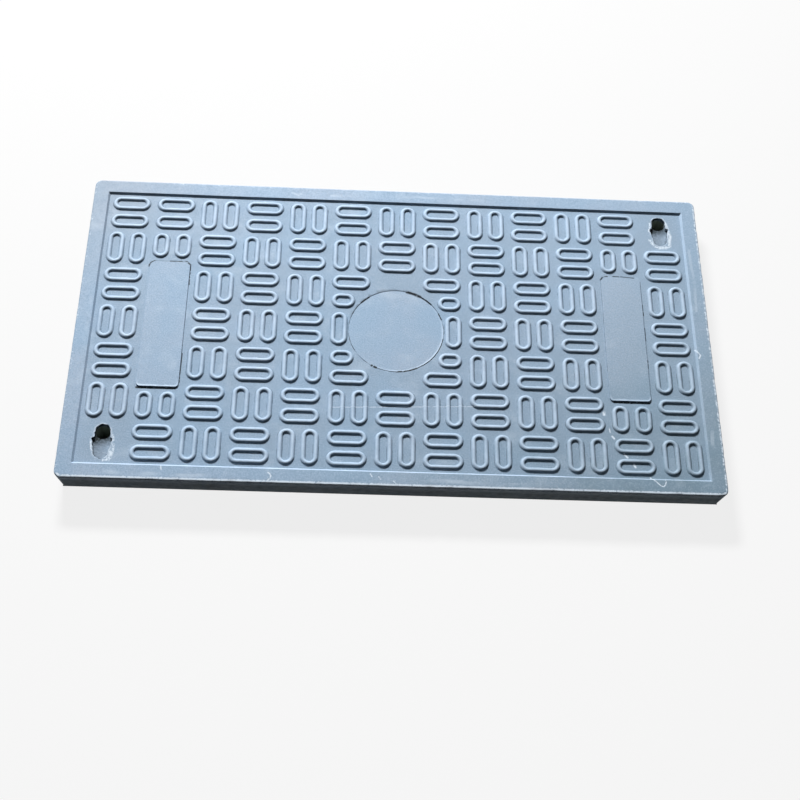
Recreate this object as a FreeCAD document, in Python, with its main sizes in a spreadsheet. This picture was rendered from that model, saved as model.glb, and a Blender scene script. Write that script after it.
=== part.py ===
import FreeCAD, Part
import math
import os

import Sketcher

# A moulded resin cover plate for a cable pit, in millimetres and degrees.
# X runs along the plate, Y to the back, Z up. The origin is the centre of the underside.
SIZES = {
    "plate_length": 1100.0,
    "plate_width": 600.0,
    "plate_thickness": 50.0,
    "corner_radius": 12.0,
    "side_inset": 7.5,
    "edge_round": 2.0,
    "rim_width": 26.0,
    "rim_slope": 3.0,
    "tread_depth": 3.6,
    "oval_length": 69.8,
    "oval_width": 31.8,
    "rib_width": 11.0,
    "oval_end_gap": 10.2,
    "oval_row_gap": 7.34,
    "short_oval_length": 43.8,
    "end_facets": 4,
    "disc_radius": 82.0,
    "seam_width": 1.0,
    "seam_depth": 1.0,
    "pad_width": 71.0,
    "pad_rows": 3,
    "pad_overhang": 11.3,
    "pad_gap": 7.0,
    "pad_corner_radius": 7.0,
    "pad_rise": 2.4,
    "bore_radius": 12.5,
    "bore_offset": 19.0,
    "recess_half_width": 17.0,
    "recess_end_radius": 12.0,
    "recess_end_reach": 38.5,
    "recess_depth": 6.0,
    "recess_end_depth": 2.0,
    "deck_thickness": 12.0,
    "rib_foot_width": 8.0,
    "rib_draft": 2.0,
}

Vector = FreeCAD.Vector
UP = Vector(0, 0, 1)
SAME_HEIGHT = 0.01
LEAST_CHANGE = 1.0
ROUNDING = 1e-6
LITRE = 1e6

# How far a ramp's wedge runs into the solid past the walls of its recess, so that the two join.
WEDGE_OVERLAP = 1.0


def make_sheet(doc):
    sheet = doc.addObject("Spreadsheet::Sheet", "Sizes")
    for line, (alias, value) in enumerate(SIZES.items(), start=1):
        sheet.set(f"A{line}", alias)
        sheet.set(f"B{line}", str(value))
        sheet.setAlias(f"B{line}", alias)
    doc.recompute()
    return sheet


class Layout:
    """The tread's grid of cells, each as large as a pair of ovals, centred on the plate."""

    def __init__(self, sheet):
        self.length = sheet.oval_length
        self.column_pitch = sheet.oval_length + sheet.oval_end_gap
        self.row_pitch = sheet.oval_length + sheet.oval_row_gap
        self.pair_spacing = self.row_pitch / 2
        border = 2 * (sheet.rim_width + sheet.rim_slope)
        self.columns = self.odd_count((sheet.plate_length - border) / self.column_pitch)
        self.rows = self.odd_count((sheet.plate_width - border) / self.row_pitch)
        self.pad_rows = sheet.pad_rows
        self.pad_column = self.columns // 2 - 1
        self.pad_half_length = self.pad_rows * self.row_pitch / 2 + sheet.pad_overhang
        self.pad_clear = self.pad_half_length + sheet.pad_gap
        self.short_length = sheet.short_oval_length

    @staticmethod
    def odd_count(room):
        return 2 * math.floor((room - 1) / 2 + ROUNDING) + 1

    def cells(self):
        """Each cell's column and row, counted from the middle one, to the right and to the back."""
        for row in range(-(self.rows // 2), self.rows // 2 + 1):
            for column in range(-(self.columns // 2), self.columns // 2 + 1):
                yield column, row

    def centre(self, column, row):
        return column * self.column_pitch, row * self.row_pitch

    def lifting_cells(self):
        return [(self.columns // 2, self.rows // 2), (-(self.columns // 2), -(self.rows // 2))]

    def lies_along(self, column, row):
        """Pairs lie along the plate and across it by turns, and the left column is a step out of turn."""
        turn = 1 if column == -(self.columns // 2) else 0
        return (column + row + self.columns // 2 + self.rows // 2 + turn) % 2 == 1

    def pair(self, x, y, length, along):
        half = self.pair_spacing / 2
        if along:
            return [(x, y - half, length, along), (x, y + half, length, along)]
        return [(x - half, y, length, along), (x + half, y, length, along)]

    def centre_block(self, column, row):
        """Beside the disc, the ovals next to it are dropped or drawn back from it."""
        if column == 0:
            return []
        x, y = self.centre(column, row)
        half = self.pair_spacing / 2
        if row == 0:
            return [(x + column * half, y, self.length, False)]
        drawn_back = column * (self.length - self.short_length) / 2
        return [
            (x, y + row * half, self.length, True),
            (x + drawn_back, y - row * half, self.short_length, True),
        ]

    def pad_end(self, column, row):
        """Beyond an end of a blank pad, a pair is cut short on the pad's side."""
        x, y = self.centre(column, row)
        side = 1 if row > 0 else -1
        outer_end = side * y + self.length / 2
        length = outer_end - self.pad_clear
        return self.pair(x, side * (outer_end + self.pad_clear) / 2, length, False)

    def ovals(self):
        """Every oval of the tread: its centre, its length, and whether it lies along the plate."""
        found = []
        for column, row in self.cells():
            if (column, row) in self.lifting_cells():
                continue
            rows_out = abs(row) - self.pad_rows // 2
            if max(abs(column), abs(row)) <= 1:
                found += self.centre_block(column, row)
            elif abs(column) == self.pad_column and rows_out <= 1:
                found += self.pad_end(column, row) if rows_out == 1 else []
            else:
                x, y = self.centre(column, row)
                found += self.pair(x, y, self.length, self.lies_along(column, row))
        return found


def origin_plane(body, role):
    return next(part for part in body.Origin.OriginFeatures if part.Role == role)


def new_sketch(body, name, role="XY_Plane", height=None, place=(0, 0)):
    """A sketch on one of the body's own planes, lifted by a formula and moved within it."""
    sketch = body.newObject("Sketcher::SketchObject", name)
    sketch.AttachmentSupport = (origin_plane(body, role), [""])
    sketch.MapMode = "FlatFace"
    sketch.AttachmentOffset = FreeCAD.Placement(Vector(*place, 0), FreeCAD.Rotation())
    if height:
        sketch.setExpression("AttachmentOffset.Base.z", height)
    return sketch


def bind(sketch, kind, places, name, rough, formula):
    """A named dimension of a sketch that follows a formula of the sheet's sizes."""
    index = sketch.addConstraint(Sketcher.Constraint(kind, *places, rough))
    sketch.renameConstraint(index, name)
    sketch.setExpression(f"Constraints.{name}", formula)


def rectangle(sketch, half_length, half_width, radius=None):
    """A rectangle about the sketch's origin. Each size is a pair: its rough value and its formula."""
    x, y = half_length[0], half_width[0]
    r = radius[0] if radius else 0
    corners = [(x, -y), (x, y), (-x, y), (-x, -y)]
    for index in range(4):
        (x0, y0), (x1, y1) = corners[index - 1], corners[index]
        run = Vector(x1 - x0, y1 - y0, 0).normalize() * r
        sketch.addGeometry(Part.LineSegment(Vector(x0, y0, 0) + run, Vector(x1, y1, 0) - run), False)
    if radius:
        for index, (cx, cy) in enumerate(corners):
            middle = Vector(math.copysign(x - r, cx), math.copysign(y - r, cy), 0)
            start = math.radians(-90 + 90 * index)
            arc = Part.ArcOfCircle(Part.Circle(middle, UP, r), start, start + math.pi / 2)
            sketch.addGeometry(arc, False)
            sketch.addConstraint(Sketcher.Constraint("Tangent", index, 2, 4 + index, 1))
            sketch.addConstraint(Sketcher.Constraint("Tangent", 4 + index, 2, (index + 1) % 4, 1))
            if index:
                sketch.addConstraint(Sketcher.Constraint("Equal", 4, 4 + index))
        bind(sketch, "Radius", (4,), "corner", r, radius[1])
    else:
        for index in range(4):
            sketch.addConstraint(Sketcher.Constraint("Coincident", index, 2, (index + 1) % 4, 1))
    for index, kind in enumerate(["Horizontal", "Vertical", "Horizontal", "Vertical"]):
        sketch.addConstraint(Sketcher.Constraint(kind, index))
    bind(sketch, "DistanceX", (-1, 1, 1, 1), "right", x, half_length[1])
    bind(sketch, "DistanceX", (3, 1, -1, 1), "left", x, half_length[1])
    bind(sketch, "DistanceY", (-1, 1, 2, 1), "back", y, half_width[1])
    bind(sketch, "DistanceY", (0, 1, -1, 1), "front", y, half_width[1])


def circle(sketch, name, rough, formula):
    index = sketch.addGeometry(Part.Circle(Vector(0, 0, 0), UP, rough), False)
    sketch.addConstraint(Sketcher.Constraint("Coincident", index, 3, -1, 1))
    bind(sketch, "Radius", (index,), name, rough, formula)


def feature(body, kind, name, sketch, **sizes):
    """A pad or pocket on a sketch. Each size is a formula of the sheet's sizes."""
    made = body.newObject(f"PartDesign::{kind}", name)
    made.Profile = sketch
    for size, formula in sizes.items():
        made.setExpression(size, formula)
    return made


def step(doc, made, grows):
    """Recomputes, and compares the volume with that of the feature before."""
    doc.recompute()
    before = made.BaseFeature.Shape.Volume
    if (made.Shape.Volume > before) != grows or abs(made.Shape.Volume - before) < LEAST_CHANGE:
        raise RuntimeError(f"{made.Name} leaves the volume at {made.Shape.Volume:.0f}")


FIELD = "Sizes.plate_thickness - Sizes.tread_depth"


def add_plate(doc, body, sheet):
    """The plate's drafted block with a rounded top edge, and the tread's field sunk inside its rim."""
    sketch = new_sketch(body, "plate_outline")
    rectangle(
        sketch,
        (sheet.plate_length / 2, "Sizes.plate_length / 2"),
        (sheet.plate_width / 2, "Sizes.plate_width / 2"),
        (sheet.corner_radius, "Sizes.corner_radius"),
    )
    block = feature(body, "Pad", "block", sketch, Length="Sizes.plate_thickness")
    doc.recompute()

    top = sheet.plate_thickness - SAME_HEIGHT
    faces = {f"Face{index}": face.BoundBox for index, face in enumerate(block.Shape.Faces, start=1)}
    draft = body.newObject("PartDesign::Draft", "side_draft")
    draft.Base = (block, [name for name, box in faces.items() if box.ZMin < top < box.ZMax])
    draft.NeutralPlane = (block, [name for name, box in faces.items() if box.ZMin > top])
    draft.Reversed = True
    draft.setExpression("Angle", "atan(Sizes.side_inset / Sizes.plate_thickness)")
    step(doc, draft, grows=False)

    edges = [
        f"Edge{index}"
        for index, edge in enumerate(draft.Shape.Edges, start=1)
        if edge.BoundBox.ZMin > top
    ]
    rounding = body.newObject("PartDesign::Fillet", "worn_edge")
    rounding.Base = (draft, edges)
    rounding.setExpression("Radius", "Sizes.edge_round")
    step(doc, rounding, grows=False)

    sketch = new_sketch(body, "field_outline", height="Sizes.plate_thickness")
    rectangle(
        sketch,
        (sheet.plate_length / 2, "Sizes.plate_length / 2 - Sizes.rim_width"),
        (sheet.plate_width / 2, "Sizes.plate_width / 2 - Sizes.rim_width"),
    )
    slope = "-atan(Sizes.rim_slope / Sizes.tread_depth)"
    field = feature(body, "Pocket", "field", sketch, Length="Sizes.tread_depth", TaperAngle=slope)
    step(doc, field, grows=False)


def add_blanks(doc, body, sheet, layout):
    """The plain disc in the middle, inside its seam, and the two blank pads near the ends."""
    sketch = new_sketch(body, "disc_seam_outline", height=FIELD)
    circle(sketch, "disc", sheet.disc_radius, "Sizes.disc_radius")
    outer = sheet.disc_radius + sheet.seam_width
    circle(sketch, "seam", outer, "Sizes.disc_radius + Sizes.seam_width")
    seam = feature(body, "Pocket", "disc_seam", sketch, Length="Sizes.seam_depth")
    step(doc, seam, grows=False)

    place = layout.centre(layout.pad_column, 0)
    sketch = new_sketch(body, "blank_pad_outline", height=FIELD, place=place)
    half_length = layout.pad_half_length
    rectangle(
        sketch,
        (sheet.pad_width / 2, "Sizes.pad_width / 2"),
        (
            half_length,
            "Sizes.pad_rows * (Sizes.oval_length + Sizes.oval_row_gap) / 2 + Sizes.pad_overhang",
        ),
        (sheet.pad_corner_radius, "Sizes.pad_corner_radius"),
    )
    pad = feature(body, "Pad", "right_blank_pad", sketch, Length="Sizes.pad_rise")
    step(doc, pad, grows=True)
    mirrored = body.newObject("PartDesign::Mirrored", "left_blank_pad")
    mirrored.Originals = [pad]
    mirrored.MirrorPlane = (origin_plane(body, "YZ_Plane"), [""])
    body.Tip = mirrored
    step(doc, mirrored, grows=True)


def recess_outline(sheet):
    """A lifting hole's recess about the bore's centre: shoulders at the bore's front, then a taper
    to a round end further to the front."""
    r = sheet.bore_radius
    wide = sheet.recess_half_width
    end = sheet.recess_end_radius
    shoulder, reach = -r, -sheet.recess_end_reach
    right = [Vector(r, 0, 0), Vector(r, shoulder, 0), Vector(wide, shoulder, 0), Vector(end, reach, 0)]
    left = [Vector(-point.x, point.y, 0) for point in reversed(right)]
    edges = [Part.LineSegment(a, b) for a, b in zip(right, right[1:])]
    tip = Vector(0, reach - end, 0)
    edges.append(Part.Arc(right[-1], tip, left[0]))
    edges += [Part.LineSegment(a, b) for a, b in zip(left, left[1:])]
    edges.append(Part.Arc(left[-1], Vector(0, r, 0), right[0]))
    return edges


def add_lifting_hole(doc, body, sheet, name, place):
    """A round way through for a lifting key, with a recess whose floor ramps up to the front."""
    x, y = place[0], place[1] + sheet.bore_offset
    sketch = new_sketch(body, f"{name}_recess_outline", height=FIELD, place=(x, y))
    sketch.addGeometry(recess_outline(sheet), False)
    recess = feature(body, "Pocket", f"{name}_recess", sketch, Length="Sizes.recess_depth")
    step(doc, recess, grows=False)

    # In this sketch X runs to the back of the plate and Y up.
    back = y + sheet.bore_radius
    front = y - sheet.recess_end_reach - sheet.recess_end_radius
    top = sheet.plate_thickness - sheet.tread_depth
    run = y - sheet.bore_radius - front
    fall = (sheet.recess_depth - sheet.recess_end_depth) / run
    ramp_top = top - sheet.recess_end_depth
    under = top - sheet.recess_depth - fall * 2 * sheet.bore_radius
    corners = [
        Vector(front - WEDGE_OVERLAP, under, 0),
        Vector(back, under, 0),
        Vector(front - WEDGE_OVERLAP, ramp_top + fall * WEDGE_OVERLAP, 0),
    ]
    sketch = new_sketch(body, f"{name}_ramp_outline", role="YZ_Plane")
    sketch.AttachmentOffset = FreeCAD.Placement(Vector(0, 0, x), FreeCAD.Rotation())
    sketch.addGeometry([Part.LineSegment(corners[i - 1], corners[i]) for i in range(3)], False)
    width = f"2 * (Sizes.recess_half_width + {WEDGE_OVERLAP})"
    ramp = feature(body, "Pad", f"{name}_ramp", sketch, Length=width)
    ramp.Midplane = True
    step(doc, ramp, grows=True)

    sketch = new_sketch(body, f"{name}_bore_outline", height=FIELD, place=(x, y))
    circle(sketch, "bore", sheet.bore_radius, "Sizes.bore_radius")
    bore = feature(body, "Pocket", f"{name}_bore", sketch)
    bore.Type = "ThroughAll"
    step(doc, bore, grows=False)


def polygon(points):
    return Part.makePolygon(points + points[:1])


def closed_solid(faces):
    shell = Part.makeShell(faces)
    shell.sewShape()
    solid = Part.Solid(shell)
    if solid.Volume < 0:
        solid.reverse()
    return solid


def band(low, high):
    """The flat faces between two outlines of as many points."""
    count = len(low)
    return [
        Part.Face(polygon([low[i - 1], low[i], high[i], high[i - 1]]))
        for i in range(count)
    ]


def underside_pockets(sheet, layout):
    """The drafted pockets that leave a grid of ribs under the deck, one under each cell of the tread.
    The two cells with lifting holes stay solid, as a boss round each hole."""
    height = sheet.plate_thickness - sheet.tread_depth - sheet.deck_thickness
    draw_in = height * math.tan(math.radians(sheet.rib_draft))
    half_x = (layout.column_pitch - sheet.rib_foot_width) / 2
    half_y = (layout.row_pitch - sheet.rib_foot_width) / 2
    corners = [(1, -1), (1, 1), (-1, 1), (-1, -1)]
    mouth = [Vector(sx * half_x, sy * half_y, 0) for sx, sy in corners]
    roof = [Vector(sx * (half_x - draw_in), sy * (half_y - draw_in), height) for sx, sy in corners]
    pocket = closed_solid([Part.Face(polygon(mouth)), Part.Face(polygon(roof))] + band(mouth, roof))
    pockets = []
    for cell in layout.cells():
        if cell not in layout.lifting_cells():
            copy = pocket.copy()
            copy.translate(Vector(*layout.centre(*cell), 0))
            pockets.append(copy)
    return Part.makeCompound(pockets)


def oval(length, width, height, facets):
    """An oval's outline about the origin, along X, with each round end as so many flats."""
    r = width / 2
    straight = length / 2 - r
    points = []
    for side in (1, -1):
        for index in range(facets + 1):
            angle = math.pi * (index / facets - side / 2)
            points.append(Vector(side * straight + r * math.cos(angle), r * math.sin(angle), height))
    return points


def oval_rib(sheet, length, along):
    """One raised oval ring: a rib that slopes to a ridge, round a floor level with the field."""
    low = sheet.plate_thickness - sheet.tread_depth
    outlines = [
        oval(length - inset, sheet.oval_width - inset, height, sheet.end_facets)
        for inset, height in [
            (0, low),
            (sheet.rib_width, sheet.plate_thickness),
            (2 * sheet.rib_width, low),
        ]
    ]
    foot, ridge, floor = outlines
    base = Part.Face(polygon(foot)).cut(Part.Face(polygon(floor)))
    rib = closed_solid(band(foot, ridge) + band(ridge, floor) + base.Faces)
    if not along:
        rib.rotate(Vector(0, 0, 0), UP, 90)
    return rib


def tread_ribs(sheet, layout):
    """Copies of a few rings, one at each oval's place, as a list of solids."""
    rings = {}
    ribs = []
    for x, y, length, along in layout.ovals():
        key = (round(length, 3), along)
        if key not in rings:
            rings[key] = oval_rib(sheet, length, along)
        rib = rings[key].copy()
        rib.translate(Vector(x, y, 0))
        ribs.append(rib)
    return ribs


def check(doc, covers):
    doc.recompute()
    failed = [part.Name for part in doc.Objects if {"Invalid", "Error"} & set(part.State)]
    if failed:
        raise RuntimeError(f"failed: {failed}")
    for cover in covers:
        if cover.Shape.isNull() or not cover.Shape.isValid() or len(cover.Shape.Solids) != 1:
            raise RuntimeError(f"{cover.Label} is not one valid solid")


def main():
    doc = FreeCAD.newDocument("CablePitCover")
    sheet = make_sheet(doc)
    layout = Layout(sheet)

    body = doc.addObject("PartDesign::Body", "plate")
    add_plate(doc, body, sheet)
    add_blanks(doc, body, sheet, layout)
    for name, cell in zip(["back_right", "front_left"], layout.lifting_cells()):
        add_lifting_hole(doc, body, sheet, name, layout.centre(*cell))

    pockets = doc.addObject("Part::Feature", "underside_pockets")
    pockets.Shape = underside_pockets(sheet, layout)
    ribbed = doc.addObject("Part::Cut", "ribbed_plate")
    ribbed.Base = body
    ribbed.Tool = pockets
    ribbed.Refine = False
    doc.recompute()

    ovals = tread_ribs(sheet, layout)
    cover = doc.addObject("Part::Feature", "cover")
    cover.Label = "cover_plate"
    cover.Shape = ribbed.Shape.copy().fuse(ovals)
    check(doc, [cover])

    os.makedirs("parts", exist_ok=True)
    cover.Shape.exportStep(f"parts/{cover.Label}.step")
    box = cover.Shape.optimalBoundingBox()
    print(f"{cover.Label}: {box.XLength:.2f} x {box.YLength:.2f} x {box.ZLength:.2f} mm,")
    print(f"{cover.Shape.Volume / LITRE:.3f} litres, {len(cover.Shape.Faces)} faces,")
    print(f"{len(ovals)} ovals, {len(pockets.Shape.Solids)} pockets")


main()
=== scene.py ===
import math
from functools import cached_property, reduce

import bpy
from mathutils import Matrix, Vector, noise
from mathutils.geometry import delaunay_2d_cdt

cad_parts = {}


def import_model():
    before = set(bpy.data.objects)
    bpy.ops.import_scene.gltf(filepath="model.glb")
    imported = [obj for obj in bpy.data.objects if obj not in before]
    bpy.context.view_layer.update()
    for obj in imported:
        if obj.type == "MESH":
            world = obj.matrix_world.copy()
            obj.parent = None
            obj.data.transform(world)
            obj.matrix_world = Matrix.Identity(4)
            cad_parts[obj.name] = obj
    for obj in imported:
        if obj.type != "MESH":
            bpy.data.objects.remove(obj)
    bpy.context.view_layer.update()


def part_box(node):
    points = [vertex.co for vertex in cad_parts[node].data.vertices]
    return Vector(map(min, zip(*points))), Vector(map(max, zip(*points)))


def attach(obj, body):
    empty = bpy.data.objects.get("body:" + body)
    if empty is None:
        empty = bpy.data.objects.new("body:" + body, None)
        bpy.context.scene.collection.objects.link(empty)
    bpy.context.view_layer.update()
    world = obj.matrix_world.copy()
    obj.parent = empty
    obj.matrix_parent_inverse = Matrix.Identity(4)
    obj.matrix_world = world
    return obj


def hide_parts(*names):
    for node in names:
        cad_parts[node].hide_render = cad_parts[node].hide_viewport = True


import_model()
_, plate_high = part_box("cover_plate")

MM = 0.001

# Heights that differ by less than this are level.
LEVEL = 0.001 * MM

# The plate: its foot is drawn in from its top, and the top edge is worn round.
PLATE_HEIGHT = plate_high.z
SIDE_INSET = 7.5 * MM
EDGE_ROUND = 2 * MM
CORNER_RADIUS = 12 * MM
FOOT_ROUND = 0.8 * MM
DRAFT = math.atan(SIDE_INSET / PLATE_HEIGHT)

# The rounding of the top edge takes this much off each side, so the sharp outline reaches further out.
SHARP_EXTRA = EDGE_ROUND / math.tan((math.pi / 2 - DRAFT) / 2) - EDGE_ROUND
HALF_LENGTH = plate_high.x + SHARP_EXTRA
HALF_WIDTH = plate_high.y + SHARP_EXTRA

# The rim, and the tread's field sunk inside it.
RIM_WIDTH = 26 * MM
RIM_SLOPE = 3 * MM
RIM_ROUND = 0.9 * MM
FIELD_CORNER = 1.2 * MM
TREAD_DEPTH = 3.6 * MM
FIELD = PLATE_HEIGHT - TREAD_DEPTH

# How far the rim's slope is painted pale along the front and along the right, where it faces the lamp:
# partly rubbed wear, partly painted highlight.
FRONT_RUB_AND_HIGHLIGHT = 0.9
RIGHT_RUB_AND_HIGHLIGHT = 0.5

# Extra rows of points up the side and in over the rim, as shares of the way.
SIDE_ROWS = (0.4, 0.75, 0.93)
RIM_ROWS = (0.06, 0.16, 0.35, 0.65)

# The raised oval rings.
OVAL_LENGTH = 69.8 * MM
OVAL_WIDTH = 31.8 * MM
OVAL_END_GAP = 10.2 * MM
OVAL_ROW_GAP = 7.34 * MM
SHORT_OVAL_LENGTH = 43.8 * MM
RIB_WIDTH = 11 * MM
RIB_SLOPE = math.radians(57)
CREST_ROUND = 4 * MM
RIB_FOOT_ROUND = 1.5 * MM
RIB_DIRT_HEIGHT = RIB_FOOT_ROUND / 5

# The plain disc inside its seam, and the two blank pads.
DISC_RADIUS = 82 * MM
SEAM_WIDTH = 1.2 * MM
SEAM_DEPTH = 1 * MM
SEAM_LEAN = SEAM_WIDTH / 6
SEAM_LEAST = 0.2
PAD_WIDTH = 71 * MM
PAD_ROWS = 3
PAD_OVERHANG = 11.3 * MM
PAD_GAP = 7 * MM
PAD_CORNER = 7 * MM
PAD_RISE = 2.4 * MM
PAD_ROUND = 0.5 * MM

# The thin lip that stands up along the front of the disc and of each pad: its size, how long its ups
# and downs are, its mean height as a share, and how far a pad's lip reaches back, in corner radii.
LIP_RISE = 0.7 * MM
LIP_WIDTH = 1.8 * MM
LIP_LENGTH = 16 * MM
LIP_MEAN = 0.7
PAD_LIP_REACH = 1.5

# The lifting holes: a round way through, and a recess whose floor ramps up to the front.
BORE_RADIUS = 12.5 * MM
BORE_OFFSET = 19 * MM
RECESS_HALF_WIDTH = 17 * MM
RECESS_END_RADIUS = 12 * MM
RECESS_END_REACH = 38.5 * MM
RECESS_DEPTH = 6 * MM
RECESS_END_DEPTH = 2 * MM

# The ribbed underside.
DECK_THICKNESS = 12 * MM
UNDER_RIB_FOOT = 8 * MM
UNDER_RIB_DRAFT = math.radians(2)
POCKET_CORNER = 5 * MM
POCKET_ROUND = 3 * MM
POCKET_MOUTH_ROUND = 0.8 * MM

# How finely the skin is divided: the length of a step, or the steps to a rounding.
SIDE_STEP = 6 * MM
GRID_STEP = 12 * MM
HOLE_STEP = 1.6 * MM
FLOOR_STEP = 2 * HOLE_STEP
CORNER_STEPS = 6
BORDER_STEPS = 4
RIB_FOOT_STEPS = 2
CREST_STEPS = 4
PAD_STEPS = 3
POCKET_STEPS = 3
POCKET_ROUND_STEPS = 2
OVAL_END_STEPS = 12
SEAM_STEPS = 144
LEAST_ARC_STEPS = 4

# The fill works in millimetres: how near two points count as one, and how the grid is shaken. It asks
# Blender for the triangles inside the outlines only.
SAME_POINT = 1e-4
INSIDE_ONLY = 1
GRID_LOOSENESS = 0.35
GRID_NOISE_SCALE = 7.3

# The grid of the tread's cells, and the cells that hold the pads and the lifting holes.
COLUMN_PITCH = OVAL_LENGTH + OVAL_END_GAP
ROW_PITCH = OVAL_LENGTH + OVAL_ROW_GAP
COLUMNS = 13
ROWS = 7
LAST_COLUMN = COLUMNS // 2
LAST_ROW = ROWS // 2
PAD_COLUMN = LAST_COLUMN - 1
PAD_HALF_LENGTH = PAD_ROWS * ROW_PITCH / 2 + PAD_OVERHANG
LIFTING_CELLS = [(LAST_COLUMN, LAST_ROW), (-LAST_COLUMN, -LAST_ROW)]

# What the material reads at each point of the skin: the worn top edge, pale crests (partly rubbed wear,
# partly painted highlight), dirty crevices (partly painted shade at the foot of the rim's back and left
# slopes), the field, how far down the plate's side it lies, torn flash, painted shade in the hollows, and
# silt.
MARKS = ("edge", "crest", "crevice", "field", "side", "flash", "hollow", "silt")


def rounded_profile(corners, radii, steps):
    """A section's points, each an inset and a height, with its inner corners rounded to those radii."""
    points = []
    for before, corner, after, radius in zip(corners, corners[1:], corners[2:], radii):
        before, corner, after = Vector(before), Vector(corner), Vector(after)
        incoming = (corner - before).normalized()
        outgoing = (after - corner).normalized()
        turn = incoming.angle_signed(outgoing)
        start = corner - incoming * abs(radius * math.tan(turn / 2))
        side = Vector((-incoming.y, incoming.x)) * (-1 if turn > 0 else 1)
        middle = start + side * radius
        for step in range(steps + 1):
            swing = Matrix.Rotation(-turn * step / steps, 2)
            points.append(middle + swing @ (start - middle))
    return points


def rounded_rectangle(half_x, half_y, radius, steps_x, steps_y, corner_steps=CORNER_STEPS):
    """Points round a rectangle about the origin, the same number whatever its size."""
    corners = [(1, -1), (1, 1), (-1, 1), (-1, -1)]
    arcs = []
    for index, (side_x, side_y) in enumerate(corners):
        middle = Vector((side_x * (half_x - radius), side_y * (half_y - radius)))
        angles = [math.radians(90 * (index - 1 + step / corner_steps)) for step in range(corner_steps + 1)]
        arcs.append([middle + radius * Vector((math.cos(a), math.sin(a))) for a in angles])
    points = []
    for index, arc in enumerate(arcs):
        points += arc
        steps = steps_x if index % 2 else steps_y
        following = arcs[(index + 1) % 4][0]
        points += [arc[-1].lerp(following, step / steps) for step in range(1, steps)]
    return points


def circle(radius, steps):
    """Points round a circle about the origin."""
    angles = [2 * math.pi * step / steps for step in range(steps)]
    return [Vector((radius * math.cos(a), radius * math.sin(a))) for a in angles]


def stadium(length, width, inset, along):
    """Points round an oval about the origin, set in from its outer line. It lies along X or along Y."""
    straight = (length - width) / 2
    radius = width / 2 - inset
    points = []
    for side in (1, -1):
        for step in range(OVAL_END_STEPS + 1):
            angle = math.pi * (step / OVAL_END_STEPS - side / 2)
            points.append(Vector((side * straight + radius * math.cos(angle), radius * math.sin(angle))))
        points.append(Vector((0, side * radius)))
    if along:
        return points
    return [Vector((-point.y, point.x)) for point in points]


class Skin:
    """One closed surface: its points, its faces, and the marks that the material reads."""

    def __init__(self):
        self.points = []
        self.faces = []
        self.marks = {name: {} for name in MARKS}

    def row(self, flat_points, height, centre=(0, 0), **marks):
        """Adds a row of points and returns their numbers. The height and the marks are values, or
        functions of X and Y."""
        start = len(self.points)
        for point in flat_points:
            x, y = point[0] + centre[0], point[1] + centre[1]
            for name, value in marks.items():
                self.marks[name][len(self.points)] = value(x, y) if callable(value) else value
            self.points.append(Vector((x, y, height(x, y) if callable(height) else height)))
        return list(range(start, len(self.points)))

    def strip(self, low, high):
        """Joins two closed rows. It faces out where it rises and up where it runs inwards."""
        for index in range(len(low)):
            self.faces.append((low[index - 1], low[index], high[index], high[index - 1]))

    def sweep(self, outline, section, base, marks, centre=(0, 0)):
        """Rows of points along a section, joined in turn."""
        rows = [
            self.row(outline(inset), base + height, centre, **marks(inset, height))
            for inset, height in section
        ]
        for low, high in zip(rows, rows[1:]):
            self.strip(low, high)
        return rows

    def lift(self, numbers, rise):
        """Raises points by a height that depends on where each of them lies."""
        for number in numbers:
            self.points[number].z += rise(self.points[number])

    def fill(self, edge, holes=(), step=None, height=0, faces_up=True, **marks):
        """Fills the area that lies inside an edge and in none of its holes, with inner points on a
        loose grid."""
        loops = [edge, *holes]
        numbers = [number for loop in loops for number in loop]
        flat = [self.points[number].xy / MM for number in numbers]
        outlines = []
        for loop in loops:
            start = sum(len(outline) for outline in outlines)
            outlines.append(list(range(start, start + len(loop))))
        grid = self.loose_grid(flat[: len(edge)], step / MM) if step else []
        found, _, triangles, sources, _, owners = delaunay_2d_cdt(
            flat + grid, [], outlines, INSIDE_ONLY, SAME_POINT, True
        )

        def number_of(corner):
            """The number of a corner's point, which joins the skin here if it is a new one."""
            source = sources[corner][0]
            if source < len(numbers):
                return numbers[source]
            return self.row([found[corner] * MM], height, **marks)[0]

        known = {}
        for triangle, owner in zip(triangles, owners):
            if owner != [0]:
                continue
            for corner in triangle:
                if corner not in known:
                    known[corner] = number_of(corner)
            face = tuple(known[corner] for corner in triangle)
            self.faces.append(face if faces_up else face[::-1])

    @staticmethod
    def loose_grid(outline, step):
        """Points of a square grid that lie inside an outline, each shaken by noise."""
        low_x, high_x = min(p.x for p in outline), max(p.x for p in outline)
        low_y, high_y = min(p.y for p in outline), max(p.y for p in outline)
        points = []
        for across in range(1, round((high_x - low_x) / step)):
            for up in range(1, round((high_y - low_y) / step)):
                place = Vector((low_x + across * step, low_y + up * step))
                spot = place.to_3d() / GRID_NOISE_SCALE
                shake = Vector((noise.noise(spot), noise.noise(-spot)))
                points.append(place + GRID_LOOSENESS * step * shake)
        return [point for point in points if inside(point, outline)]

    def mesh(self, name):
        """The mesh, with each mark and the painted shade of the lee sides as attributes of its points."""
        mesh = bpy.data.meshes.new(name)
        mesh.from_pydata(self.points, [], self.faces)
        for mark, values in self.marks.items():
            attribute = mesh.attributes.new(mark, "FLOAT", "POINT")
            attribute.data.foreach_set("value", [values.get(i, 0.0) for i in range(len(self.points))])
        painted_lee_shade = mesh.attributes.new("painted_lee_shade", "FLOAT", "POINT")
        painted_lee_shade.data.foreach_set("value", [painted_shade_share(v.co, v.normal) for v in mesh.vertices])
        mesh.validate()
        return mesh


# The way that the tread's sides with painted shade face, away from the lamp: to the front, and a little to
# the right.
PAINTED_SHADE_WAY = Vector((0.5, -1, 0)).normalized()


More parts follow.
